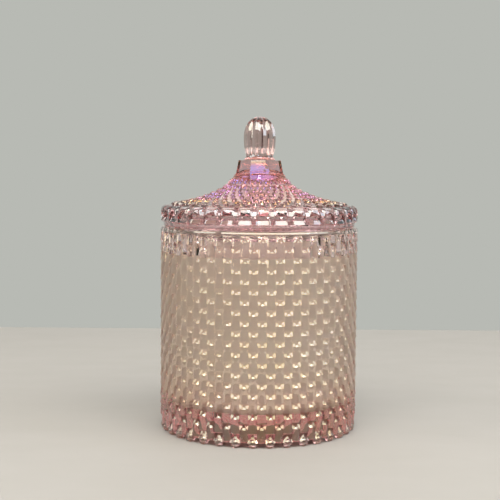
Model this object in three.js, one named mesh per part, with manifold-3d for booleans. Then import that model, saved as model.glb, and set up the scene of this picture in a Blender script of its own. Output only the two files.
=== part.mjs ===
// A lidded pressed-glass candy dish poured as a scented candle.
// Millimetres, +Z up. The origin is the centre of the circle that the foot beads stand on.
// Every piece is round about the Z axis, and each is one closed solid.

import * as THREE from 'three';
import { mergeVertices } from 'three/addons/utils/BufferGeometryUtils.js';
import Module from 'manifold-3d';

const wasm = await Module();
wasm.setup();

// ---------- driving dimensions ----------

const dishRadius = 45;            // over the outside of the pressed relief
const dishHeight = 92;            // table to the flat rim
const wallThickness = 5;          // relief included
const floorTop = 13.5;            // inside floor, above a thick pressed base
const patternCount = 36;          // columns of relief, foot beads and lid windows
const overallHeight = 141.8;      // table to the top of the knob
const contactGap = 0.3;           // between pieces that touch

const footBeadRadius = 2.1;
const footBeadCircle = 42.5;      // radius of the circle of foot beads
const footBeadFlat = 1;           // radius of the flat that each bead stands on
const footBeadTop = 5;            // the beads run up into the base to here
const baseUnderside = 2;          // glass between the beads, above the table
const baseHollow = 2;             // how far the underside is dished at its middle

const lidBandRadius = 43.4;       // plain band that rests on the dish
const lidRimRadius = 44.6;        // windowed rim above the band
const lidPlugRadius = 38.2;       // locates the lid in the mouth
const lidPlugBottom = 87;
const lidPlugInside = 34.5;
const lidWall = 4.5;
const collarTop = 122;
const collarBottom = 113.8;
const collarFacets = 8;
const knobRadius = 7.4;
const knobNeckRadius = 6.2;
const knobFlutes = 12;
const knobFluteDepth = 0.35;

const sealGroove = { low: 88, high: 91, radius: 37.2 };
const sealRadius = 39.7;          // over the two lips that wipe the mouth

const waxTop = 79;
const wickRadius = 1.2;
const wickTop = 84;               // trimmed about 5 mm above the wax
const tabRadius = 10;
const tabThickness = 0.4;
const tabNeckTop = 21;
const tabNeckRadius = 2.1;
const stickerRadius = 9.5;
const stickerThickness = 0.5;

const ringSegments = 72;          // facets round the dish and the lid
const innerSegments = 36;         // facets round the wax and the seal
const smallSegments = 24;         // facets round the tab and its sticker
const wickSegments = 12;
const beadSegments = 8;

// ---------- finishes ----------

const finishes = {
  dishGlass: { color: 0xe3bdb6, roughness: 0.05, metalness: 0 },
  lidGlass: { color: 0xd9938f, roughness: 0.05, metalness: 0 },
  silicone: { color: 0xe9e6e2, roughness: 0.45, metalness: 0 },
  wax: { color: 0xf1e2c8, roughness: 0.55, metalness: 0 },
  cotton: { color: 0xefe9dc, roughness: 0.9, metalness: 0 },
  tinPlate: { color: 0xb9bcc0, roughness: 0.3, metalness: 1 },
  foamTape: { color: 0xf4f4f2, roughness: 0.8, metalness: 0 },
};

// ---------- helpers ----------

const point = (r, z) => new THREE.Vector2(r, z);

// Turns an outline of (radius, height) points about the Z axis.
function turned(outline, segments = ringSegments) {
  const geometry = new THREE.LatheGeometry(outline, segments);
  geometry.rotateX(Math.PI / 2);
  return geometry;
}

// Points along an arc in the (radius, height) plane, angles in degrees from the +radius direction.
function arc(centreR, centreZ, radius, fromDeg, toDeg, steps) {
  const points = [];
  for (let i = 0; i <= steps; i += 1) {
    const angle = THREE.MathUtils.degToRad(fromDeg + ((toDeg - fromDeg) * i) / steps);
    points.push(point(centreR + radius * Math.cos(angle), centreZ + radius * Math.sin(angle)));
  }
  return points;
}

// Heights of a concave slope between two (radius, height) ends; bend pulls its middle down.
function slope(fromR, fromZ, toR, toZ, bend, steps) {
  const points = [];
  for (let i = 0; i <= steps; i += 1) {
    const t = i / steps;
    const sag = bend * 4 * t * (1 - t);
    points.push(point(fromR + (toR - fromR) * t, fromZ + (toZ - fromZ) * t - sag));
  }
  return points;
}

function toSolid(geometry) {
  const bare = geometry.clone();
  bare.deleteAttribute('normal');
  bare.deleteAttribute('uv');
  const merged = mergeVertices(bare, 1e-4);
  return new wasm.Manifold(new wasm.Mesh({
    numProp: 3,
    vertProperties: new Float32Array(merged.attributes.position.array),
    triVerts: new Uint32Array(merged.index.array),
  }));
}

function toGeometry(solid) {
  const mesh = solid.getMesh();
  const geometry = new THREE.BufferGeometry();
  geometry.setAttribute('position', new THREE.BufferAttribute(mesh.vertProperties, 3));
  geometry.setIndex(new THREE.BufferAttribute(mesh.triVerts, 1));
  return geometry;
}

function joined(geometries) {
  return toGeometry(geometries.map(toSolid).reduce((whole, next) => whole.add(next)));
}

const group = new THREE.Group();

function addPiece(name, geometry, finish) {
  const piece = new THREE.Mesh(geometry, new THREE.MeshStandardMaterial(finishes[finish]));
  piece.name = name;
  group.add(piece);
}

// ---------- dish: one pressing, with the ring of foot beads under it ----------

function dishBowl() {
  const bore = dishRadius - wallThickness;
  const cornerRadius = 7;
  const filletRadius = 4;
  const rimRound = 1.2;
  const outline = [
    point(0, baseUnderside + baseHollow),
    point(30, baseUnderside + 0.6),
    point(36, baseUnderside),
    point(footBeadCircle, baseUnderside),
    ...arc(dishRadius - cornerRadius, baseUnderside + cornerRadius, cornerRadius, -48, 0, 3),
    ...arc(dishRadius - rimRound, dishHeight - rimRound, rimRound, 0, 90, 2),
    point(bore + 0.8, dishHeight),
    point(bore, dishHeight - 0.8),
    ...arc(bore - filletRadius, floorTop + filletRadius, filletRadius, 0, -90, 3),
    point(0, floorTop),
  ];
  return turned(outline);
}

function footBead(index) {
  const outline = [
    point(0, 0),
    point(footBeadFlat, 0),
    point(footBeadRadius, 1.5),
    point(footBeadRadius, footBeadTop),
    point(0, footBeadTop),
  ];
  const bead = turned(outline, beadSegments);
  const angle = (2 * Math.PI * index) / patternCount;
  bead.translate(footBeadCircle * Math.cos(angle), footBeadCircle * Math.sin(angle), 0);
  return bead;
}

const footBeads = Array.from({ length: patternCount }, (_, index) => footBead(index));
addPiece('dish', joined([dishBowl(), ...footBeads]), 'dishGlass');

// ---------- lid: one pressing, with the windowed rim, the slope, the collar and the knob ----------

function lidShell() {
  const outline = [
    point(0, 112),
    ...slope(11.8, 112, 41.5, 101.4, 2.2, 6),
    ...arc(lidRimRadius - 3.4, 98, 3.4, 70, 0, 3),
    point(lidRimRadius, 95),
    point(lidBandRadius, 94.2),
    point(lidBandRadius, dishHeight + contactGap),
    point(lidPlugRadius, dishHeight + contactGap),
    point(lidPlugRadius, sealGroove.high),
    point(sealGroove.radius, sealGroove.high),
    point(sealGroove.radius, sealGroove.low),
    point(lidPlugRadius, sealGroove.low),
    point(lidPlugRadius, lidPlugBottom),
    point(lidPlugInside, lidPlugBottom),
    point(lidPlugInside, 96),
    ...slope(33, 98.2, 10, 112 - lidWall, 1.6, 4),
    point(0, 113 - lidWall),
  ];
  return turned(outline.reverse());
}

// The rim's upright windows, each a shallow block cut into the rim between two ribs.
function rimWindow(index) {
  const pitch = (2 * Math.PI * lidRimRadius) / patternCount;
  const depth = 1.2;
  const window = new THREE.BoxGeometry(2 * depth, pitch * 0.62, 4.4);
  window.translate(lidRimRadius, 0, 97.4);
  window.rotateZ((2 * Math.PI * (index + 0.5)) / patternCount);
  return window;
}

function collar() {
  const outline = [
    point(0, 111.6),
    point(12, 111.6),
    point(11.2, collarBottom),
    point(9.6, collarTop),
    point(0, collarTop),
  ];
  return turned(outline, collarFacets);
}

// A long dome, narrowed at its neck, with flutes up its side.
function knob() {
  const domeBase = 133;
  const domeSteps = 7;
  const outline = [
    point(0, collarTop - 1),
    point(knobNeckRadius + 1, collarTop - 1),
    point(knobNeckRadius + 1, collarTop + 0.4),
    point(knobNeckRadius, collarTop + 1.4),
    point(knobNeckRadius + 0.4, collarTop + 3.5),
    point(knobRadius - 0.1, collarTop + 7),
  ];
  for (let i = 0; i < domeSteps; i += 1) {
    const angle = (Math.PI / 2) * (i / domeSteps);
    outline.push(point(knobRadius * Math.cos(angle), domeBase + (overallHeight - domeBase) * Math.sin(angle)));
  }
  outline.push(point(0, overallHeight));
  const dome = turned(outline, knobFlutes * 2);
  const spots = dome.attributes.position;
  for (let i = 0; i < spots.count; i += 1) {
    const radius = Math.hypot(spots.getX(i), spots.getY(i));
    const angle = Math.atan2(spots.getY(i), spots.getX(i));
    const fluted = spots.getZ(i) > collarTop + 3 && radius > 3;
    const share = fluted ? 1 - (knobFluteDepth / radius) * (0.5 - 0.5 * Math.cos(knobFlutes * angle)) : 1;
    spots.setXY(i, spots.getX(i) * share, spots.getY(i) * share);
  }
  return dome;
}

function lid() {
  const windows = Array.from({ length: patternCount }, (_, index) => rimWindow(index));
  const body = [lidShell(), collar(), knob()].map(toSolid).reduce((whole, next) => whole.add(next));
  return toGeometry(windows.map(toSolid).reduce((whole, next) => whole.subtract(next), body));
}

addPiece('lid', lid(), 'lidGlass');

// ---------- lid seal: a clear ring in the plug's groove, with two lips ----------

const sealInside = sealGroove.radius + contactGap;
const sealLow = sealGroove.low + contactGap;
const sealHigh = sealGroove.high - contactGap;
const sealBody = sealRadius - 1;
addPiece('lid_seal', turned([
  point(sealInside, sealLow),
  point(sealBody, sealLow),
  point(sealRadius, sealLow + 0.5),
  point(sealBody, sealLow + 1),
  point(sealBody, sealHigh - 1),
  point(sealRadius, sealHigh - 0.5),
  point(sealBody, sealHigh),
  point(sealInside, sealHigh),
  point(sealInside, sealLow),
], innerSegments), 'silicone');

// ---------- candle: wax poured round the wick and its tab ----------

const stickerLow = floorTop + contactGap;
const tabLow = stickerLow + stickerThickness + contactGap;
const tabHigh = tabLow + tabThickness;
const wickBore = wickRadius + contactGap;

addPiece('wick_sticker', turned([
  point(0, stickerLow),
  point(stickerRadius, stickerLow),
  point(stickerRadius, stickerLow + stickerThickness),
  point(0, stickerLow + stickerThickness),
], smallSegments), 'foamTape');

addPiece('wick_tab', turned([
  point(wickBore, tabLow),
  point(tabRadius, tabLow),
  point(tabRadius, tabHigh),
  point(tabNeckRadius, tabHigh),
  point(tabNeckRadius, tabNeckTop),
  point(wickBore, tabNeckTop),
  point(wickBore, tabLow),
], smallSegments), 'tinPlate');

addPiece('wick', turned([
  point(0, tabLow + contactGap),
  point(wickRadius, tabLow + contactGap),
  point(wickRadius, wickTop - 0.4),
  point(wickRadius - 0.4, wickTop),
  point(0, wickTop),
], wickSegments), 'cotton');

function waxFill() {
  const bore = dishRadius - wallThickness - contactGap;
  const filletRadius = 4;
  const pocket = tabRadius + contactGap;
  const neckPocket = tabNeckRadius + contactGap;
  return turned([
    point(pocket, floorTop + contactGap),
    ...arc(bore - filletRadius, floorTop + contactGap + filletRadius, filletRadius, -90, 0, 3),
    point(bore, waxTop),
    point(wickBore, waxTop),
    point(wickBore, tabNeckTop + contactGap),
    point(neckPocket, tabNeckTop + contactGap),
    point(neckPocket, tabHigh + contactGap),
    point(pocket, tabHigh + contactGap),
    point(pocket, floorTop + contactGap),
  ], innerSegments);
}

addPiece('wax_fill', waxFill(), 'wax');

export default group;
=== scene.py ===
import math

import bpy
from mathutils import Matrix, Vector


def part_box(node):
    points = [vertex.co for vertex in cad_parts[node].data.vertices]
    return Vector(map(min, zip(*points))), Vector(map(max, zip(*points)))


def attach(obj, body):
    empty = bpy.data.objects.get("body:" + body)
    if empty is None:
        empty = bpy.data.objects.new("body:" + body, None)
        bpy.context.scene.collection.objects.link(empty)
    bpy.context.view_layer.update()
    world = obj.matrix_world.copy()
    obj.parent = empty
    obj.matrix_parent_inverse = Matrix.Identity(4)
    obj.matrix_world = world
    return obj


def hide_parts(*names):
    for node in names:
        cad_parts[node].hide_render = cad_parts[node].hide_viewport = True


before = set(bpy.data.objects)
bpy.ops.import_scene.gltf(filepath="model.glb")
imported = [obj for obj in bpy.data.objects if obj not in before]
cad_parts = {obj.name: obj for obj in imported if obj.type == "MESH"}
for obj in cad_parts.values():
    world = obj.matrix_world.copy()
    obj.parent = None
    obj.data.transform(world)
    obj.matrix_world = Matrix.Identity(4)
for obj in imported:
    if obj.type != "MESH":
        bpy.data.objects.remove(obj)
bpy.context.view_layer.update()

mm = 0.001
colourA, colourB, colourOut = 6, 7, 2  # sockets of a Mix node that is set to colours


def nodeSize(node):
    # outer radius, foot height and top height of a round CAD node, in millimetres
    low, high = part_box(node)
    return round(high.x / mm, 2), round(low.z / mm, 2), round(high.z / mm, 2)


def pick(*objects):
    bpy.ops.object.select_all(action="DESELECT")
    for item in objects:
        item.select_set(True)
    bpy.context.view_layer.objects.active = objects[0]


def mix(a, b, t):
    return a + (b - a) * t


def srgb(hexCode):  # a hex colour to the linear values that Blender mixes
    channels = [int(hexCode[i:i + 2], 16) / 255 for i in (1, 3, 5)]
    linear = [c / 12.92 if c <= 0.04045 else ((c + 0.055) / 1.055) ** 2.4 for c in channels]
    return (*linear, 1.0)


def addNode(tree, kind, settings=None, inputs=None, links=None):
    # settings are the node's own fields, inputs its socket values, links socket -> where it comes from
    node = tree.nodes.new(kind)
    for name, value in (settings or {}).items():
        setattr(node, name, value)
    for name, value in (inputs or {}).items():
        node.inputs[name].default_value = value
    for name, source in (links or {}).items():
        tree.links.new(source, node.inputs[name])
    return node


def newMaterial(name):
    material = bpy.data.materials.new(name)
    material.use_nodes = True
    material.node_tree.nodes.clear()
    return material, material.node_tree


def finishPiece(piece, name, material, smoothAngle):
    piece.name = name
    piece.data.name = name
    piece.data.materials.clear()
    piece.data.materials.append(material)
    pick(piece)
    bpy.ops.object.transform_apply(location=True, rotation=True, scale=True)
    bpy.ops.object.shade_smooth_by_angle(angle=math.radians(smoothAngle))
    return piece


def markSprayed(piece, missed):
    # missed(radius, height) in millimetres says where the lustre spray didn't reach
    sprayed = piece.data.attributes.new("sprayed", "FLOAT", "POINT")
    for vert, item in zip(piece.data.vertices, sprayed.data):
        item.value = 0.0 if missed(math.hypot(vert.co.x, vert.co.y) / mm, vert.co.z / mm) else 1.0


def meshRings(name, verts, around):
    # joins rings of vertices, each as many as around and one under the other, with faces
    faces = []
    for ring in range(len(verts) // around - 1):
        upper, lower = ring * around, (ring + 1) * around
        for i in range(around):
            j = (i + 1) % around
            faces.append((upper + i, lower + i, lower + j, upper + j))
    mesh = bpy.data.meshes.new(name)
    mesh.from_pydata(verts, [], faces)
    piece = bpy.data.objects.new(name, mesh)
    bpy.context.scene.collection.objects.link(piece)
    return piece


def selectRing(piece, height):
    bpy.ops.object.mode_set(mode="EDIT")
    bpy.ops.mesh.select_mode(type="VERT")
    bpy.ops.mesh.select_all(action="DESELECT")
    bpy.ops.object.mode_set(mode="OBJECT")
    for vert in piece.data.vertices:
        vert.select = abs(vert.co.z - height * mm) < 1e-6
    for edge in piece.data.edges:
        edge.select = all(piece.data.vertices[v].select for v in edge.vertices)
    bpy.ops.object.mode_set(mode="EDIT")


def growLoop(rings, start):
    # extrudes the selected edge loop through (radius, height) rings in millimetres, and closes it
    radius, height = start
    for nextRadius, nextHeight in rings:
        rise = (0, 0, (nextHeight - height) * mm)
        bpy.ops.mesh.extrude_region_move(TRANSFORM_OT_translate={"value": rise})
        share = nextRadius / radius
        bpy.ops.transform.resize(value=(share, share, 1), center_override=(0, 0, 0))
        radius, height = nextRadius, nextHeight
    bpy.ops.mesh.merge(type="CENTER")
    bpy.ops.object.mode_set(mode="OBJECT")


def outwardNormals(piece):
    pick(piece)
    bpy.ops.object.mode_set(mode="EDIT")
    bpy.ops.mesh.select_all(action="SELECT")
    bpy.ops.mesh.normals_make_consistent(inside=False)
    bpy.ops.object.mode_set(mode="OBJECT")


def spinProfile(name, profile, steps):
    # profile is (radius, height) in millimetres, from axis to axis or closed on itself
    bpy.ops.mesh.primitive_plane_add(size=2 * mm, location=(0, 0, 0))
    piece = bpy.context.object
    piece.name = name
    bpy.ops.object.mode_set(mode="EDIT")
    bpy.ops.mesh.select_all(action="SELECT")
    bpy.ops.mesh.delete(type="VERT")
    bpy.ops.object.mode_set(mode="OBJECT")
    closed = profile[0] == profile[-1]
    points = profile[:-1] if closed else profile
    edges = [(i, i + 1) for i in range(len(points) - 1)]
    if closed:
        edges.append((len(points) - 1, 0))
    piece.data.from_pydata([(r * mm, 0, z * mm) for r, z in points], edges, [])
    bpy.ops.object.mode_set(mode="EDIT")
    bpy.ops.mesh.select_all(action="SELECT")
    bpy.ops.mesh.spin(steps=steps, angle=2 * math.pi, center=(0, 0, 0), axis=(0, 0, 1))
    bpy.ops.mesh.select_all(action="SELECT")
    bpy.ops.mesh.remove_doubles(threshold=0.004 * mm)
    bpy.ops.mesh.normals_make_consistent(inside=False)
    bpy.ops.object.mode_set(mode="OBJECT")
    return piece


def booleanWith(piece, tool, operation):
    pick(piece)
    join = piece.modifiers.new("join", "BOOLEAN")
    join.operation = operation
    join.solver = "MANIFOLD"
    join.object = tool
    bpy.ops.object.modifier_apply(modifier="join")
    bpy.data.objects.remove(tool)


cameraSet = {
    "distance": 495.0,      # mm from the dish's axis
    "side": -4.1,           # mm left of the axis
    "height": 118.4,
    "azimuth": 3.3,         # degrees round from the front, towards +X
    "pitchDown": 4.316,
    "roll": 0.395,
    "lens": 78.12,
    "sensor": 36,
}


def placeCamera():
    turn = math.radians(cameraSet["azimuth"])
    side, back = cameraSet["side"] * mm, cameraSet["distance"] * mm
    x = side * math.cos(turn) + back * math.sin(turn)
    y = side * math.sin(turn) - back * math.cos(turn)
    bpy.ops.object.camera_add(location=(x, y, cameraSet["height"] * mm))
    camera = bpy.context.object
    camera.rotation_mode = "XYZ"
    camera.rotation_euler = (math.radians(90 - cameraSet["pitchDown"]), 0, turn)
    camera.rotation_euler.rotate_axis("Z", math.radians(cameraSet["roll"]))
    camera.data.lens = cameraSet["lens"]
    camera.data.sensor_width = cameraSet["sensor"]
    camera.data.clip_start = 0.01
    bpy.context.scene.camera = camera


placeCamera()
print("camera placed")

dishRadius, dishFoot, dishRim = nodeSize("dish")
dishSet = {
    "bore": 40.0,
    "floor": 13.5,
    "footStart": 2.4,       # the relief ends here, between the beads
    "cornerStart": 9.0,     # the wall starts to round in below this
    "cornerIn": 3.0,
    "outerLip": [(0, 1.1), (0.3, 0.45), (0.9, 0.05), (1.3, 0)],     # in from the wall, down from the rim
    "innerLip": [(1.1, 0), (0.5, 0.15), (0.12, 0.55), (0, 1.2)],    # out from the bore, down from the rim
    "floorFillet": 4.0,
    "floorRings": [20, 4],
    "underside": [(38, 2.0), (36, 2.1), (30, 2.6), (16, 3.5), (4, 4.0)],
    "undersideEdge": (1.0, 2.05),   # in from the foot of the wall, and its height
    "smoothAngle": 20,
}
beadSet = {
    "count": 36,
    "radius": 2.1,
    "circle": 42.5,
    "flat": 1.0,            # radius of the flat that a bead stands on
}
# The pressed basket weave: rows of bells that flare downwards from a narrow neck to a wide lip.
# Each bell is two rows long, and each row starts half a column round from the next.
relief = {
    "columns": 36,
    "rows": 20,
    "rowPitch": 4.4145,
    "firstLedge": 6.17,     # height of the lowest ledge
    "plainGap": 0.25,       # from the highest ledge up to the plain rim
    "stepDrop": 0.12,       # a bell's lip is undercut over this height
    "drops": [0, 0.12, 0.95, 1.75, 2.6],    # lines of the mesh, down from a ledge
    "quarters": [0, 0.25, 0.5, 0.75, 1],    # points of the mesh across half a bell
    "seam": 0.04,           # width of the line where two bells meet
    "pocketStep": 0.03,     # width of the step from the pocket's floor to a bell
    "pocketDepth": 2.4,     # below the outer radius, straight under a bell's lip
    "valleyDepth": 1.25,    # between two bells
    "shoulder": 0.28,       # share of a bell's length where its neck ends
    "shoulderCrest": 0.6,   # depth of the crest there, from where it rises to 0 at the lip
    "neckCrest": 2.38,
    "neckWidth": 0.3,       # half widths of a bell: at its neck, its shoulder and its lip
    "shoulderWidth": 1.5,
    "lipWidth": 2.4,
    "neckFlare": 1.8,
}


def bellShape(t):
    # half width, crest depth and foot depth of a bell, t from its neck (0) to its lip (1)
    neck = min(t / relief["shoulder"], 1)
    body = max(0, (t - relief["shoulder"]) / (1 - relief["shoulder"]))
    width = mix(relief["neckWidth"], relief["shoulderWidth"], neck ** relief["neckFlare"])
    width += body * (relief["lipWidth"] - relief["shoulderWidth"])
    crest = mix(relief["neckCrest"], relief["shoulderCrest"], neck) * (1 - body)
    foot = mix(relief["pocketDepth"], relief["valleyDepth"], neck)
    return width, crest, foot


def bellRow(t):
    # (millimetres round, depth) across half a column, from a bell at t to its neighbour half a bell on
    half = math.pi * dishRadius / relief["columns"]
    seam, quarters = relief["seam"], relief["quarters"]
    narrow, narrowCrest, narrowFoot = bellShape(t)
    wide, wideCrest, wideFoot = bellShape(t + 0.5)

    def narrowDepth(x):
        return narrowCrest + (narrowFoot - narrowCrest) * (x / narrow) ** 2

    def wideDepth(x):
        return wideCrest + (wideFoot - wideCrest) * ((half - x) / wide) ** 2

    touching = narrow + wide > half - seam
    nearEdge, farEdge = narrow, half - wide
    if touching:  # halve the span until the two surfaces are equally deep
        low, high = 0, half
        for _ in range(30):
            middle = (low + high) / 2
            low, high = (middle, high) if narrowDepth(middle) < wideDepth(middle) else (low, middle)
        nearEdge, farEdge = low - seam / 2, low + seam / 2
    fromNarrow = [nearEdge * share for share in quarters]
    fromWide = [half - (half - farEdge) * share for share in reversed(quarters)]
    near = [(x, narrowDepth(x)) for x in fromNarrow]
    far = [(x, wideDepth(x)) for x in fromWide]
    if touching:
        between = ((far[0][0] + far[1][0]) / 2, (far[0][1] + far[1][1]) / 2)
    else:  # the pocket between them is flat
        far[0] = (farEdge, narrowFoot)
        between = (farEdge + relief["pocketStep"], min(narrowFoot, wideFoot))
    return [*near, far[0], between, *far[1:]]


def wallRadius(height):
    below = max(0, dishSet["cornerStart"] - height) / dishSet["cornerStart"]
    return dishRadius - dishSet["cornerIn"] * (1 - math.sqrt(max(0, 1 - below ** 2)))


def dishRows():
    # (height, points across half a column, row that says where the narrow bells are), from the rim down
    rows = []
    for row in range(relief["rows"] - 1, -1, -1):
        ledge = relief["firstLedge"] + row * relief["rowPitch"]
        rows.append((ledge, bellRow(0.4999), row + 1))
        for drop in relief["drops"][1:]:
            t = (drop - relief["stepDrop"]) / relief["rowPitch"] / 2
            rows.append((ledge - drop, bellRow(max(0, t)), row))
    return rows


def makeDishWall(top):
    rows = dishRows()
    half = math.pi / relief["columns"]
    halfWidth = half * dishRadius
    steps = len(rows[0][1]) - 1
    verts = []
    for height, line, narrowRow in [(top, None, 0), *rows, (dishSet["footStart"], None, 0)]:
        for column in range(2 * relief["columns"]):
            for step in range(steps):
                share, depth = step / steps, 0
                if line is not None:  # every other half column is mirrored
                    forward = (column + narrowRow) % 2 == 0
                    around, depth = line[step if forward else steps - step]
                    share = around / halfWidth if forward else 1 - around / halfWidth
                angle = half * (column + share)
                reach = (wallRadius(height) - depth) * mm
                verts.append((reach * math.cos(angle), reach * math.sin(angle), height * mm))
    return meshRings("dish", verts, 2 * relief["columns"] * steps)


def makeFootBeads():
    radius, flat = beadSet["radius"] * mm, beadSet["flat"] * mm
    height = math.sqrt(radius ** 2 - flat ** 2)
    beads = []
    for index in range(beadSet["count"]):
        angle = 2 * math.pi * index / beadSet["count"]
        circle = beadSet["circle"] * mm
        spot = (circle * math.cos(angle), circle * math.sin(angle), height)
        bpy.ops.mesh.primitive_uv_sphere_add(segments=16, ring_count=10, radius=radius, location=spot)
        beads.append(bpy.context.object)
        bpy.ops.object.mode_set(mode="EDIT")
        bpy.ops.mesh.select_all(action="SELECT")
        bpy.ops.mesh.bisect(plane_co=(0, 0, 0), plane_no=(0, 0, 1), use_fill=True, clear_inner=True)
        bpy.ops.object.mode_set(mode="OBJECT")
    pick(*beads)
    bpy.ops.object.join()
    bpy.ops.object.transform_apply(location=True, rotation=True, scale=True)
    return bpy.context.object


def makeDish(material):
    bore, floor, fillet = dishSet["bore"], dishSet["floor"], dishSet["floorFillet"]
    top = relief["firstLedge"] + (relief["rows"] - 1) * relief["rowPitch"] + relief["plainGap"]
    dish = makeDishWall(top)
    pick(dish)
    selectRing(dish, top)
    lip = [(dishRadius - inwards, dishRim - down) for inwards, down in dishSet["outerLip"]]
    lip += [(bore + outwards, dishRim - down) for outwards, down in dishSet["innerLip"]]
    turns = [i * math.pi / 8 for i in range(5)]
    corner = [(bore - fillet * (1 - math.cos(a)), floor + fillet * (1 - math.sin(a))) for a in turns]
    inside = [(bore, dishRim / 2), *corner, *[(radius, floor) for radius in dishSet["floorRings"]]]
    growLoop(lip + inside, (dishRadius, top))
    selectRing(dish, dishSet["footStart"])
    foot = wallRadius(dishSet["footStart"])
    edgeIn, edgeHeight = dishSet["undersideEdge"]
    growLoop([(foot - edgeIn, edgeHeight), *dishSet["underside"]], (foot, dishSet["footStart"]))
    outwardNormals(dish)
    booleanWith(dish, makeFootBeads(), "UNION")
    markSprayed(dish, lambda radius, height: radius < bore + 0.6 and height > floor - 1)
    return finishPiece(dish, "dish_glass", material, dishSet["smoothAngle"])


lidRadius, plugFoot, lidTop = nodeSize("lid")
lidSet = {
    "slopeFrom": (11.6, 112.0),     # radius and height at the collar and at the rim
    "slopeTo": (42.2, 101.75),
    "slopeSag": 2.2,
    "coveRise": 3.1,        # the slope sweeps up this far to the collar
    "coveReach": 2.1,
    "slopeRings": 10,       # rings of pimples, closer together near the collar
    "crowding": 1.25,
    "linesPerRing": 6,
    "pimple": 1.05,         # height of a full-sized pimple over the slope
    "pimpleAcross": 0.21,   # its half widths: share of the pitch, and of the ring spacing
    "pimpleAlong": 0.46,
    "neckRings": [8, 3],
    "windows": 36,
    "windowShares": [0, 0.05, 0.1, 0.14, 0.21, 0.28, 0.35, 0.43, 0.5],  # points across half a window
    "ribHalf": 0.1,         # share of a window's pitch
    "windowDepth": 1.1,
    "windowTop": 99.8,      # top of the gable over each window, at its middle
    "gableDrop": 1.4,       # the gable's ends are this much lower
    "ledgeTop": 96.45,      # the sloping ledge in each window runs from here down to its foot
    "windowFoot": 94.8,
    "lobeSink": 0.5,        # the crown dips this far over each rib
    "crown": [(1.4, 101.35), (0.6, 100.85), (0.12, 100.1)],     # in from the rim, and height
    "bandRadius": 43.4,
    "bandTop": 93.6,
    "seat": 92.3,
    "edge": 0.4,            # the corners of the band and the plug are cut by this much
    "plugRadius": 38.2,
    "plugInside": 34.5,
    "groove": (88.0, 91.0),
    "grooveRadius": 37.2,
    "hollowCorner": [(0, 95.5), (0.5, 97), (1.8, 98.2)],    # in from the plug's inside, and height
    "hollowTop": (8, 108.2),
    "hollowSag": 1.6,
    "hollowCrown": (3, 108.8),
    "smoothAngle": 24,
}


def sag(t, depth):
    return depth * 4 * t * (1 - t)


def slopeOutline():
    # (radius, height) down the slope, from the collar to the rim
    (fromRadius, fromHeight), (toRadius, toHeight) = lidSet["slopeFrom"], lidSet["slopeTo"]
    lines = lidSet["slopeRings"] * lidSet["linesPerRing"]
    outline = []
    for i in range(lines + 1):
        t = (i / lines) ** lidSet["crowding"]
        radius = mix(fromRadius, toRadius, t)
        cove = lidSet["coveRise"] * math.exp(-(radius - fromRadius) / lidSet["coveReach"])
        outline.append((radius, mix(fromHeight, toHeight, t) - sag(t, lidSet["slopeSag"]) + cove))
    return outline


def pimpleAt(share, ring):
    # 0 to 1, how far a pimple stands up at a share of the pitch and a number of rings down the slope
    out = 0
    nearest = round(ring)
    for row in (nearest - 1, nearest, nearest + 1):
        if 0 < row < lidSet["slopeRings"]:
            aside = abs(share - 0.5 * (row % 2))
            across = min(aside, 1 - aside) / lidSet["pimpleAcross"]
            along = (ring - row) / lidSet["pimpleAlong"]
            out = max(out, math.sqrt(max(0, 1 - across ** 2 - along ** 2)))
    return out


def slopeRings(outline, shares):
    # rings of (radius, height, pitches round)
    rings = []
    last = len(outline) - 1
    for line, (radius, height) in enumerate(outline):
        before, after = outline[max(0, line - 1)], outline[min(last, line + 1)]
        run, fall = after[0] - before[0], before[1] - after[1]
        length = math.hypot(run, fall)
        size = lidSet["pimple"] * min(1, 0.25 + radius / 40)
        outs = [size * pimpleAt(share, line / lidSet["linesPerRing"]) for share in shares]
        rings.append([(radius + out * fall / length, height + out * run / length, window + share)
                      for window in range(lidSet["windows"]) for share, out in zip(shares, outs)])
    return rings


def windowLine(share):
    # (radius, height) down one upright line of the rim, at a share of a window's pitch
    middle = max(0, 1 - abs(share - 0.5) / (0.5 - lidSet["ribHalf"]))
    gable = lidSet["windowTop"] - lidSet["gableDrop"] * (1 - middle)
    inside = lidRadius - lidSet["windowDepth"] * min(1, middle / 0.2)
    sink = lidSet["lobeSink"] * (1 - min(1, middle / 0.45)) ** 2
    foot = lidSet["windowFoot"]
    crown = [(lidRadius - inwards - sink, height - sink) for inwards, height in lidSet["crown"]]
    crown[0] = (crown[0][0], crown[0][1] + 0.4 * sink)  # its inner edge dips less
    window = [(lidRadius, gable), (inside, gable - 0.3), (inside, 98.0), (inside, lidSet["ledgeTop"])]
    below = [(lidRadius, foot), (lidRadius, foot - 0.1), (lidRadius - 0.35, foot - 0.5)]
    return crown + window + below + [(lidRadius - 1.1, foot - 0.65)]


def lidUnderside():
    # (radius, height) from under the rim, over the plug and up into the hollow
    band, plug, inner, edge = (lidSet[key] for key in ("bandRadius", "plugRadius", "plugInside", "edge"))
    seat, groove, (low, high) = lidSet["seat"], lidSet["grooveRadius"], lidSet["groove"]
    rings = [(band, lidSet["bandTop"]), (band, seat + edge), (band - edge, seat), (plug + edge, seat),
             (plug, seat - 0.3), (plug, high), (groove, high), (groove, low), (plug, low),
             (plug, plugFoot + edge), (plug - edge, plugFoot), (inner + edge, plugFoot),
             (inner, plugFoot + edge)]
    rings += [(inner - inwards, height) for inwards, height in lidSet["hollowCorner"]]
    start, end = rings[-1], lidSet["hollowTop"]
    for i in range(1, 7):
        t = i / 6
        rings.append((mix(start[0], end[0], t), mix(start[1], end[1], t) - sag(t, lidSet["hollowSag"])))
    return [*rings, lidSet["hollowCrown"]]


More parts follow.
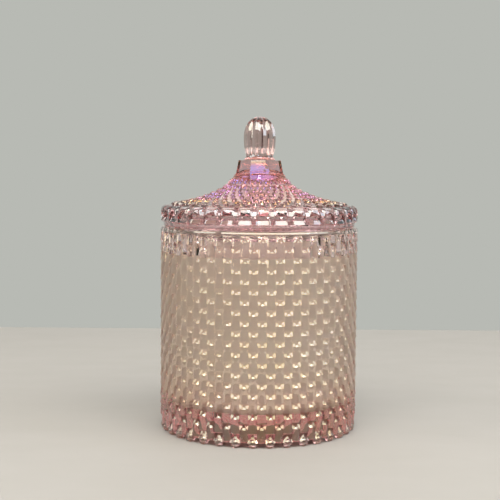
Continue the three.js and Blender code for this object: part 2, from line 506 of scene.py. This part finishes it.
def makeLidShell():
    shares = lidSet["windowShares"] + [1 - share for share in reversed(lidSet["windowShares"][1:-1])]
    outline = slopeOutline()
    rings = slopeRings(outline, shares)
    lines = [windowLine(share) for share in shares]
    for index in range(len(lines[0])):
        rings.append([(*line[index], window + share)
                      for window in range(lidSet["windows"]) for line, share in zip(lines, shares)])
    verts = []
    for radius, height, pitches in (point for ring in rings for point in ring):
        angle = 2 * math.pi * pitches / lidSet["windows"]
        verts.append((radius * mm * math.cos(angle), radius * mm * math.sin(angle), height * mm))
    shell = meshRings("lid", verts, len(rings[0]))
    pick(shell)
    selectRing(shell, lines[0][-1][1])
    growLoop(lidUnderside(), lines[0][-1])
    neckHeight = outline[0][1]
    selectRing(shell, neckHeight)
    growLoop([(radius, neckHeight + 0.2) for radius in lidSet["neckRings"]], outline[0])
    outwardNormals(shell)
    return shell


collarSet = {
    "foot": 110.5,          # inside the lid's slope
    "top": 121.9,
    "outline": [(14.2, 110.5), (13.4, 112.0), (12.5, 113.6), (12.0, 115), (11.6, 117), (10.9, 121.2),
                (10.5, 121.9)],
    "cove": [(12.6, 110.5), (12.0, 114.4), (11.5, 115.4), (10.9, 116.0)],
    "sides": 8,
    "footRadius": 12.7,     # of the corners of the facets
    "topRadius": 10.15,
    "facetHeight": 12.6,
    "facetMiddle": 116.3,
    "turn": 25.8,           # degrees, which sets one facet to the front
    "steps": 96,
}


def makeCollar():
    collar = spinProfile("collar", [(0, collarSet["foot"]), *collarSet["outline"], (0, collarSet["top"])],
                         collarSet["steps"])
    bpy.ops.mesh.primitive_cone_add(
        vertices=collarSet["sides"],
        radius1=collarSet["footRadius"] * mm, radius2=collarSet["topRadius"] * mm,
        depth=collarSet["facetHeight"] * mm, location=(0, 0, collarSet["facetMiddle"] * mm),
        rotation=(0, 0, math.radians(collarSet["turn"])))
    facets = bpy.context.object
    bpy.ops.object.transform_apply(location=True, rotation=True, scale=True)
    booleanWith(collar, facets, "INTERSECT")
    cove = [(0, collarSet["foot"]), *collarSet["cove"], (0, collarSet["cove"][-1][1])]
    booleanWith(collar, spinProfile("cove", cove, collarSet["steps"]), "UNION")
    return collar


knobSet = {
    "foot": 120.5,          # inside the collar
    "outline": [(7.1, 120.5), (7.1, 122.3), (6.8, 122.7), (6.25, 123.2), (6.2, 123.9), (6.5, 125.2),
                (6.95, 126.8), (7.25, 128.6), (7.4, 130.6), (7.4, 133.0)],
    "top": lidTop - 0.05,
    "flutes": 12,
    "fluteDepth": 0.75,
    "fluteFrom": 123.5,
    "fluteFade": 2,         # height over which a flute reaches its full depth
    "fluteSharpness": 1.3,
    "tipRadius": 4.5,       # the flutes fade out inside this
    "steps": 72,
}


def makeKnob():
    widest, dome = knobSet["outline"][-1]
    profile = [(0, knobSet["foot"]), *knobSet["outline"]]
    for i in range(1, 10):
        angle = math.pi / 2 * i / 10
        profile.append((widest * math.cos(angle), dome + (knobSet["top"] - dome) * math.sin(angle)))
    knob = spinProfile("knob", [*profile, (0, knobSet["top"])], knobSet["steps"])
    for vert in knob.data.vertices:
        radius = math.hypot(vert.co.x, vert.co.y)
        over = vert.co.z / mm - knobSet["fluteFrom"]
        if over < 0 or radius < 1e-6:
            continue
        strength = min(1, over / knobSet["fluteFade"]) * min(1, radius / mm / knobSet["tipRadius"])
        hollow = abs(math.cos(knobSet["flutes"] / 2 * math.atan2(vert.co.y, vert.co.x)))
        share = 1 - knobSet["fluteDepth"] * mm * strength * hollow ** knobSet["fluteSharpness"] / radius
        vert.co.x *= share
        vert.co.y *= share
    return knob


def underLid(radius, height):
    # the underside of the band, the plug and the hollow, up to half way through the slope
    return height < 92.4 or (radius < 41 and height < 100.6 + 0.41 * (32.7 - radius))


def makeLid(material):
    lid = makeLidShell()
    booleanWith(lid, makeCollar(), "UNION")
    booleanWith(lid, makeKnob(), "UNION")
    markSprayed(lid, underLid)
    return finishPiece(lid, "lid_glass", material, lidSet["smoothAngle"])


sealRadius, sealFoot, sealTop = nodeSize("lid_seal")
sealSet = {
    "inner": 37.5,
    "body": 38.7,
    "lips": [0.55, 1.95],   # height of each lip's edge over the seal's foot
    "steps": 128,
    "smoothAngle": 50,
}


def makeSeal(material):
    inner, body = sealSet["inner"], sealSet["body"]
    profile = [(inner, sealFoot)]
    for rise in sealSet["lips"]:
        lip = sealFoot + rise
        profile += [(body, lip - 0.55), (sealRadius - 0.15, lip - 0.2), (sealRadius, lip),
                    (sealRadius - 0.2, lip + 0.15), (body, lip + 0.45)]
    profile += [(inner, sealTop), (inner, sealFoot)]
    seal = spinProfile("seal", profile, sealSet["steps"])
    return finishPiece(seal, "lid_seal_ring", material, sealSet["smoothAngle"])


waxTop = nodeSize("wax_fill")[2]
waxSet = {
    "wetting": 0.12,        # the wax wets the glass, so its face lies just inside the glass
    "corner": 4.0,
    "wallLines": [40, 60],
    "climb": [(0, 1.1), (0.35, 0.75), (1.0, 0.3), (2.2, 0.02), (5, -0.1)],  # in from the wall, over the top
    "surface": [(20, -0.2), (8, -0.35), (3, -0.1), (1.8, 0.25), (1.32, 0.7)],   # radius, over the top
    "tabSpace": [(1.32, 21.3), (2.4, 21.3), (2.4, 15.4), (10.3, 15.4)],     # round the wick and its tab
    "steps": 128,
    "smoothAngle": 40,
}


def makeWax(material):
    wall, floor = dishSet["bore"] + waxSet["wetting"], dishSet["floor"] - waxSet["wetting"]
    corner, tabSpace = waxSet["corner"], waxSet["tabSpace"]
    start = (tabSpace[-1][0], floor)
    turns = [i * math.pi / 12 for i in range(7)]
    profile = [start]
    profile += [(wall - corner * (1 - math.sin(a)), floor + corner * (1 - math.cos(a))) for a in turns]
    profile += [(wall, height) for height in waxSet["wallLines"]]
    profile += [(wall - inwards, waxTop + over) for inwards, over in waxSet["climb"]]
    profile += [(radius, waxTop + over) for radius, over in waxSet["surface"]]
    wax = spinProfile("wax", [*profile, *tabSpace, start], waxSet["steps"])
    return finishPiece(wax, "candle_wax", material, waxSet["smoothAngle"])


wickRadius, wickFoot, wickTop = nodeSize("wick")
wickSet = {
    "lines": range(20, 82, 8),
    "tip": [(0, 1.5), (0.05, 0.4), (0.5, 0)],   # in from the side, down from the top
    "steps": 24,
    "smoothAngle": 50,
}


def makeWick(material):
    foot = wickFoot + 0.05
    profile = [(0, foot), (wickRadius, foot), *[(wickRadius, height) for height in wickSet["lines"]]]
    profile += [(wickRadius - inwards, wickTop - down) for inwards, down in wickSet["tip"]]
    wick = spinProfile("wick", [*profile, (0, wickTop)], wickSet["steps"])
    return finishPiece(wick, "wick_braid", material, wickSet["smoothAngle"])


# Soda-lime glass, pressed in a mould and sprayed hot with a metal salt. The eye sees clear pink glass
# with soft waves left by the mould, under an oil-like film that only the outside has.
glassSet = {
    "ior": 1.52,
    "filmIor": 1.95,
    "gloss": 0.015,
    "waveScale": 260.0,
    "waveHeight": 0.0002,
    "waveStrength": 0.12,
}
glassFinishes = {
    # the dish's film is the thinnest that still shows: warm white where it catches the light
    "dish": {"tintAndShade": "#fffaf6", "footTint": "#fbd6d4", "tintFrom": 0.004, "tintTo": 0.036,
             "absorbed": "#f66a82", "density": 13.0, "haze": 0.05, "cloudScale": 40.0,
             "filmThin": 84.0, "filmThick": 88.0, "filmUneven": 6.0,
             "thickFrom": (0.01, 0.03), "thickTo": (0.07, 0.09)},
    # the lid's slope and collar were sprayed more heavily: pink, turning violet where the film is thickest
    # its upper colour, above 118 mm, greys the knob and the top of the collar: painted shade, standing in
    # for the dark room that the knob reflects
    "lid": {"tintAndShade": "#dfd8d4", "footTint": "#f9eef1", "tintFrom": 0.118, "tintTo": 0.124,
            "absorbed": "#ee746c", "density": 25.0, "haze": 0.05, "cloudScale": 60.0,
            "filmThin": 64.0, "filmThick": 141.0, "filmUneven": 12.0,
            "thickFrom": (0.101, 0.106), "thickTo": (0.119, 0.124)},
}


def glassMaterial(name, settings):
    # the film is in nanometres, filmThick between the two heights in metres and filmThin beyond them
    material, tree = newMaterial(name)
    spot = addNode(tree, "ShaderNodeTexCoord").outputs["Object"]
    cloud = addNode(tree, "ShaderNodeTexNoise", inputs={"Scale": settings["cloudScale"], "Detail": 1.0},
                    links={"Vector": spot})
    height = addNode(tree, "ShaderNodeSeparateXYZ", links={"Vector": spot}).outputs["Z"]
    low, high = settings["thickFrom"], settings["thickTo"]
    rise = addNode(tree, "ShaderNodeMapRange", {"interpolation_type": "SMOOTHSTEP"},
                   {"From Min": low[0], "From Max": low[1],
                    "To Min": settings["filmThin"], "To Max": settings["filmThick"]}, {"Value": height})
    fall = addNode(tree, "ShaderNodeMapRange", {"interpolation_type": "SMOOTHSTEP"},
                   {"From Min": high[0], "From Max": high[1], "To Max": settings["filmThin"]},
                   {"Value": height, "To Min": rise.outputs["Result"]})
    uneven = settings["filmUneven"]
    patch = addNode(tree, "ShaderNodeMapRange",
                    inputs={"From Min": 0.35, "From Max": 0.65, "To Min": -uneven, "To Max": uneven},
                    links={"Value": cloud.outputs["Fac"]})
    laid = addNode(tree, "ShaderNodeMath", {"operation": "ADD"},
                   links={0: fall.outputs["Result"], 1: patch.outputs["Result"]})
    sprayed = addNode(tree, "ShaderNodeAttribute", {"attribute_name": "sprayed"})
    film = addNode(tree, "ShaderNodeMath", {"operation": "MULTIPLY"},
                   links={0: laid.outputs["Value"], 1: sprayed.outputs["Fac"]})
    haze = addNode(tree, "ShaderNodeMapRange",
                   inputs={"To Min": glassSet["gloss"], "To Max": settings["haze"]},
                   links={"Value": cloud.outputs["Fac"]})
    wave = addNode(tree, "ShaderNodeTexNoise", inputs={"Scale": glassSet["waveScale"], "Detail": 1.0},
                   links={"Vector": spot})
    bump = addNode(tree, "ShaderNodeBump",
                   inputs={"Strength": glassSet["waveStrength"], "Distance": glassSet["waveHeight"]},
                   links={"Height": wave.outputs["Fac"]})
    # the colour goes from the foot colour below tintFrom to the upper colour above tintTo; on the lid that
    # upper colour is painted shade on the knob
    deepen = addNode(tree, "ShaderNodeMapRange", {"interpolation_type": "SMOOTHSTEP"},
                     {"From Min": settings["tintFrom"], "From Max": settings["tintTo"]}, {"Value": height})
    tintAndShade = addNode(tree, "ShaderNodeMix", {"data_type": "RGBA"},
                   {colourA: srgb(settings["footTint"]), colourB: srgb(settings["tintAndShade"])},
                   {"Factor": deepen.outputs["Result"]})
    shader = addNode(tree, "ShaderNodeBsdfPrincipled",
                     inputs={"IOR": glassSet["ior"], "Transmission Weight": 1.0,
                             "Thin Film IOR": glassSet["filmIor"]},
                     links={"Base Color": tintAndShade.outputs[colourOut], "Roughness": haze.outputs["Result"],
                            "Thin Film Thickness": film.outputs["Value"], "Normal": bump.outputs["Normal"]})
    volume = addNode(tree, "ShaderNodeVolumeAbsorption",
                     inputs={"Color": srgb(settings["absorbed"]), "Density": settings["density"]})
    addNode(tree, "ShaderNodeOutputMaterial",
            links={"Surface": shader.outputs["BSDF"], "Volume": volume.outputs["Volume"]})
    return material


finishes = {
    # soy wax is a little see-through and sets with faint clouds in it
    "soyWax": {"light": "#f0ebda", "dark": "#e9e2cd", "cloudScale": 90.0, "smooth": 0.42, "rough": 0.6,
               "grainScale": 900.0, "grainHeight": 0.00004,
               "shader": {"Subsurface Weight": 0.25, "Subsurface Radius": (0.004, 0.0028, 0.0018),
                          "Subsurface Scale": 1.0, "IOR": 1.45}},
    # cotton braid dipped in wax: off-white and matt, with threads about a third of a millimetre wide
    "cotton": {"light": "#f3ecdb", "dark": "#d9ceb6", "cloudScale": 1500.0, "smooth": 0.6, "rough": 0.9,
               "grainScale": 6000.0, "grainHeight": 0.00006, "shader": {"IOR": 1.5}},
    # moulded silicone passes light but isn't clear, and has a satin skin
    "silicone": {"light": "#f4f1ee", "dark": "#e7e3df", "cloudScale": 200.0, "smooth": 0.3, "rough": 0.45,
                 "grainScale": 2500.0, "grainHeight": 0.00001,
                 "shader": {"IOR": 1.41, "Transmission Weight": 0.8}},
    # tin over thin steel sheet, drawn and crimped, so it is bright but finely scratched
    "tinPlate": {"light": "#cfd0d0", "dark": "#b3b5b8", "cloudScale": 600.0, "smooth": 0.22, "rough": 0.42,
                 "grainScale": 5000.0, "grainHeight": 0.00001, "shader": {"Metallic": 1.0}},
    # closed-cell foam tape: white and dull, with open cells at its cut edge
    "foamTape": {"light": "#f4f4f1", "dark": "#dddcd6", "cloudScale": 2500.0, "smooth": 0.75, "rough": 0.95,
                 "grainScale": 3000.0, "grainHeight": 0.0002, "shader": {"IOR": 1.5}},
    # board with a roller coat of matt paint, pale and nearly even
    "paintedBoard": {"light": "#a9a6a2", "dark": "#a4a19c", "cloudScale": 30.0, "smooth": 0.6, "rough": 0.75,
                     "grainScale": 500.0, "grainHeight": 0.00002, "shader": {"IOR": 1.5}},
}


def mottledMaterial(name, settings):
    # two close shades of one stuff, mixed by a noise, with its fine grain as a bump
    material, tree = newMaterial(name)
    spot = addNode(tree, "ShaderNodeTexCoord").outputs["Object"]
    cloud = addNode(tree, "ShaderNodeTexNoise", inputs={"Scale": settings["cloudScale"], "Detail": 4.0},
                    links={"Vector": spot})
    shade = addNode(tree, "ShaderNodeMix", {"data_type": "RGBA"},
                    {colourA: srgb(settings["light"]), colourB: srgb(settings["dark"])},
                    {"Factor": cloud.outputs["Fac"]})
    rough = addNode(tree, "ShaderNodeMapRange",
                    inputs={"To Min": settings["smooth"], "To Max": settings["rough"]},
                    links={"Value": cloud.outputs["Fac"]})
    grain = addNode(tree, "ShaderNodeTexNoise", inputs={"Scale": settings["grainScale"], "Detail": 3.0},
                    links={"Vector": spot})
    bump = addNode(tree, "ShaderNodeBump", inputs={"Strength": 0.5, "Distance": settings["grainHeight"]},
                   links={"Height": grain.outputs["Fac"]})
    shader = addNode(tree, "ShaderNodeBsdfPrincipled", inputs=settings["shader"],
                     links={"Base Color": shade.outputs[colourOut], "Roughness": rough.outputs["Result"],
                            "Normal": bump.outputs["Normal"]})
    addNode(tree, "ShaderNodeOutputMaterial", links={"Surface": shader.outputs["BSDF"]})
    return material


dishGlass = glassMaterial("lustred pink pressed glass", glassFinishes["dish"])
lidGlass = glassMaterial("lustred rose pressed glass", glassFinishes["lid"])
soyWax = mottledMaterial("poured soy wax", finishes["soyWax"])
cotton = mottledMaterial("waxed cotton braid", finishes["cotton"])
silicone = mottledMaterial("clear silicone", finishes["silicone"])
tinPlate = mottledMaterial("tinned steel", finishes["tinPlate"])
foamTape = mottledMaterial("foam tape", finishes["foamTape"])
print("materials mixed")

dishPiece = makeDish(dishGlass)
print("dish modelled", len(dishPiece.data.polygons))
lidPiece = makeLid(lidGlass)
print("lid modelled", len(lidPiece.data.polygons))
sealPiece = makeSeal(silicone)
waxPiece = makeWax(soyWax)
wickPiece = makeWick(cotton)
for node, material in (("wick_tab", tinPlate), ("wick_sticker", foamTape)):
    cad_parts[node].data.materials.clear()
    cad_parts[node].data.materials.append(material)
print("candle modelled")

placed = ((dishPiece, "jar", "dish", "dish_glass"), (lidPiece, "lid", "lid", "lid_glass"),
          (sealPiece, "seal", "lid_seal", "silicone"), (waxPiece, "jar", "wax_fill", "wax"),
          (wickPiece, "jar", "wick", "cotton"))
for piece, body, node, slot in placed:
    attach(piece, body)
    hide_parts(node)

floorSet = {"size": (1.2, 0.7), "middle": (0, -0.05, -0.00002)}     # metres, just under the beads
softboxes = {   # place and size in metres, watts, colour
    "front_box": ((0.16, -0.7, 1.03), (2.1, 0.95), 26.0, "#fffaf2"),
    "small_box": ((0.02, -0.7, 1.2), (0.22, 0.22), 2.6, "#ffffff"),
    "left_box": ((-1.0, -0.35, 0.56), (0.5, 0.85), 4.2, "#fff8f0"),
    "right_box": ((1.0, -0.15, 0.6), (0.5, 0.85), 3.6, "#f2f6ff"),
    "streak_box": ((0.045, -1.1, 0.53), (0.08, 0.34), 0.3, "#dfe6ff"),
    "back_box": ((0.0, 0.8, 0.85), (1.0, 0.5), 1.8, "#ffffff"),
}
aimedAt = Vector((0, 0, 0.07))
roomSet = {"colour": "#b8bab4", "from": -0.35, "to": 0.45, "front": 0.3, "rear": 1.1}


def makeFloor():
    turn = math.radians(cameraSet["azimuth"])
    bpy.ops.mesh.primitive_plane_add(size=1, location=floorSet["middle"], rotation=(0, 0, turn))
    floor = bpy.context.object
    floor.scale = (*floorSet["size"], 1)
    floor.name = "floor"
    floor.data.materials.append(mottledMaterial("pale painted board", finishes["paintedBoard"]))


def addSoftbox(name, location, size, power, colour):
    bpy.ops.object.light_add(type="AREA", location=location)
    box = bpy.context.object
    box.name = name
    box.data.shape = "RECTANGLE"
    box.data.size, box.data.size_y = size
    box.data.energy = power
    box.data.color = srgb(colour)[:3]
    box.visible_camera = False
    box.rotation_euler = (aimedAt - Vector(location)).to_track_quat("-Z", "Y").to_euler()


def makeRoom():
    # an even grey room to look at, that lights the object more from behind than from the front
    world = bpy.data.worlds.new("studio")
    bpy.context.scene.world = world
    world.use_nodes = True
    tree = world.node_tree
    tree.nodes.clear()
    way = addNode(tree, "ShaderNodeTexCoord")
    parts = addNode(tree, "ShaderNodeSeparateXYZ", links={"Vector": way.outputs["Generated"]})
    rear = addNode(tree, "ShaderNodeMapRange", {"interpolation_type": "SMOOTHSTEP"},
                   {"From Min": roomSet["from"], "From Max": roomSet["to"],
                    "To Min": roomSet["front"], "To Max": roomSet["rear"]}, {"Value": parts.outputs["Y"]})
    path = addNode(tree, "ShaderNodeLightPath")
    colour = srgb(roomSet["colour"])
    seen = addNode(tree, "ShaderNodeBackground", inputs={"Color": colour, "Strength": 1.0})
    given = addNode(tree, "ShaderNodeBackground", inputs={"Color": colour},
                    links={"Strength": rear.outputs["Result"]})
    blend = addNode(tree, "ShaderNodeMixShader", links={
        "Fac": path.outputs["Is Camera Ray"], 1: given.outputs["Background"], 2: seen.outputs["Background"]})
    addNode(tree, "ShaderNodeOutputWorld", links={"Surface": blend.outputs["Shader"]})


makeFloor()
for name, (location, size, power, colour) in softboxes.items():
    addSoftbox(name, location, size, power, colour)
makeRoom()
scene = bpy.context.scene
scene.view_settings.view_transform = "Standard"
scene.cycles.use_denoising = True
print("stage lit")
